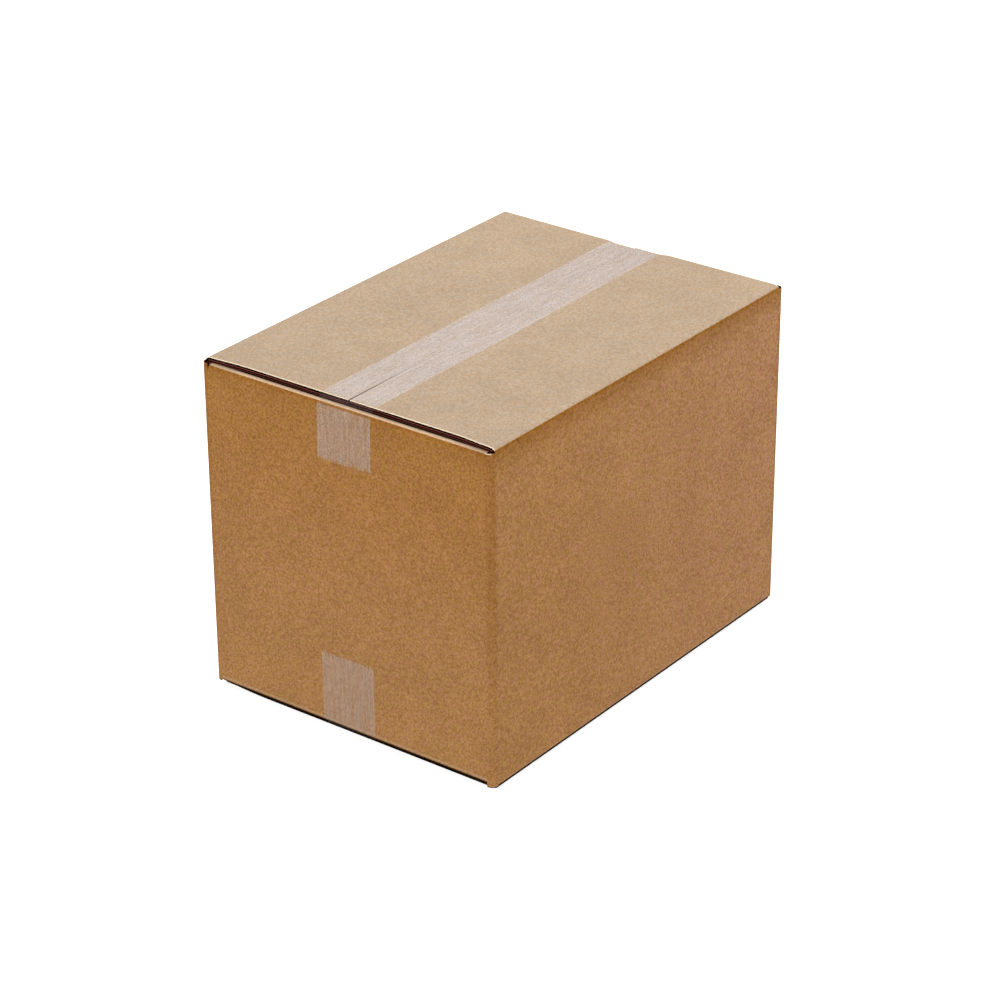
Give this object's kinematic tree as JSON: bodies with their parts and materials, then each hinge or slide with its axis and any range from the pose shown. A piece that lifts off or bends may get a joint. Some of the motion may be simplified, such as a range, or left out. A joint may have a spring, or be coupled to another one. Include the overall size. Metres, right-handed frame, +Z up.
{
  "type": "closed cardboard box",
  "caption": "Closed corrugated shipping box folded from one sheet, its four outer flaps meeting in a centre seam that clear tape seals on the top and bottom.",
  "frame": {"origin": "middle of the underside of the bottom tape, on the surface that the box stands on", "axes": "+X along the box's length, with the end panel that shows on the picture's left at -X; +Z up"},
  "size_m": [0.3662, 0.262, 0.2697],
  "materials": {
    "kraft_board": "matte kraft liner",
    "clear_tape": "clear glossy film"
  },
  "bodies": {
    "root": {"carton": "kraft_board", "top_tape": "clear_tape", "bottom_tape": "clear_tape"}
  },
  "joints": []
}
